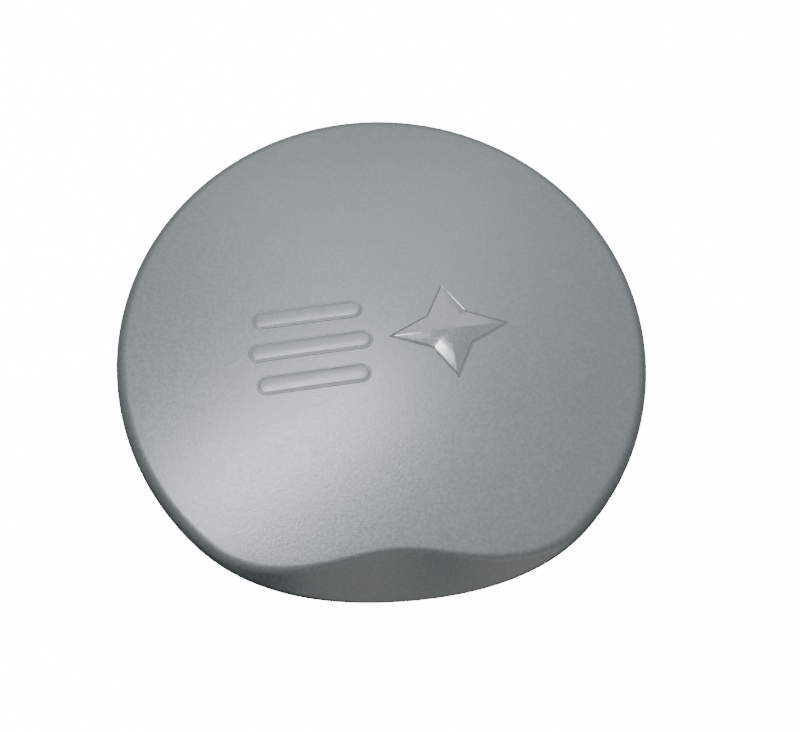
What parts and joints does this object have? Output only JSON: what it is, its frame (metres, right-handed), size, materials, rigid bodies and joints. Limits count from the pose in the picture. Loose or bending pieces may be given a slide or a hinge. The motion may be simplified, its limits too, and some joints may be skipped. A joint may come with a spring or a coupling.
{
  "type": "spare tire cover",
  "caption": "Hard spare tyre cover: moulded silver shell with a scooped lower edge, hinged on a rear ring and wheel bracket, with a key lock.",
  "frame": {"origin": "on the wheel's axis, in the rear plane that the ring rests on", "axes": "+Z out of the face along the wheel's axis, -Y towards the scoop, the lower side in use, +X to the right seen from the front"},
  "size_m": [0.7268, 0.7232, 0.2729],
  "materials": {
    "silver_shell": "silver metallic paint, satin, over ABS moulding",
    "silver_inner": "unpainted grey ABS",
    "black_ring": "textured black polypropylene",
    "rubber": "matt EPDM",
    "black_steel": "black powder coat",
    "zinc_fasteners": "bright zinc plate",
    "zinc_plate": "zinc-plated pressed steel",
    "alloy_trim": "mill-finish aluminium",
    "badge_gloss": "high-gloss clear-coated grey",
    "badge_satin": "same silver satin paint as the shell",
    "lock_black": "moulded black nylon",
    "lock_chrome": "polished chrome plate"
  },
  "bodies": {
    "rear_frame": {"rear_ring": "black_ring", "ring_seal": "rubber", "tyre_pads": "rubber", "hub_plate": "black_steel", "arm_1": "black_steel", "arm_2": "black_steel", "arm_3": "black_steel", "arm_4": "black_steel", "hub_rivets": "zinc_fasteners", "arm_bolts": "zinc_fasteners", "arm_washers": "zinc_fasteners", "arm_nuts": "zinc_fasteners", "hinge_base_left": "zinc_plate", "hinge_base_right": "zinc_plate", "hinge_base_screws": "zinc_fasteners", "hinge_pin_left": "zinc_fasteners", "hinge_pin_right": "zinc_fasteners", "striker": "zinc_plate", "striker_screws": "zinc_fasteners"},
    "front_cover": {"front_shell": "silver_shell", "corner_gussets": "silver_inner", "hinge_pads_outer": "silver_shell", "hinge_pads_inner": "silver_inner", "stiffening_ring": "silver_inner", "face_pads": "rubber", "rim_hoop": "alloy_trim", "hoop_rivets": "alloy_trim", "badge_star": "badge_gloss", "badge_stripes": "badge_satin", "badge_clips": "zinc_fasteners", "hinge_leaf_left": "zinc_plate", "hinge_leaf_right": "zinc_plate", "hinge_leaf_bolts": "zinc_fasteners", "hinge_leaf_nuts": "zinc_fasteners", "lock_pocket": "lock_black", "lock_housing": "lock_chrome", "lock_nut": "zinc_fasteners", "lock_door_pin": "zinc_fasteners"},
    "lock_flap": {"lock_door": "lock_black"},
    "lock_cylinder": {"lock_plug": "lock_chrome", "lock_cam": "zinc_plate", "lock_cam_screw": "zinc_fasteners"}
  },
  "joints": [
    {"name": "cover_hinge", "type": "hinge", "parent": "rear_frame", "child": "front_cover", "pos_m": [0, 0.374, 0.008], "axis": [-1, 0, 0], "range_deg": [0, 85]},
    {"name": "flap_hinge", "type": "hinge", "parent": "front_cover", "child": "lock_flap", "pos_m": [0, -0.3412, 0.046], "axis": [-1, 0, 0], "range_deg": [0, 100]},
    {"name": "key_turn", "type": "hinge", "parent": "front_cover", "child": "lock_cylinder", "pos_m": [0, -0.336, 0.032], "axis": [0, -1, 0], "range_deg": [0, 90]}
  ]
}
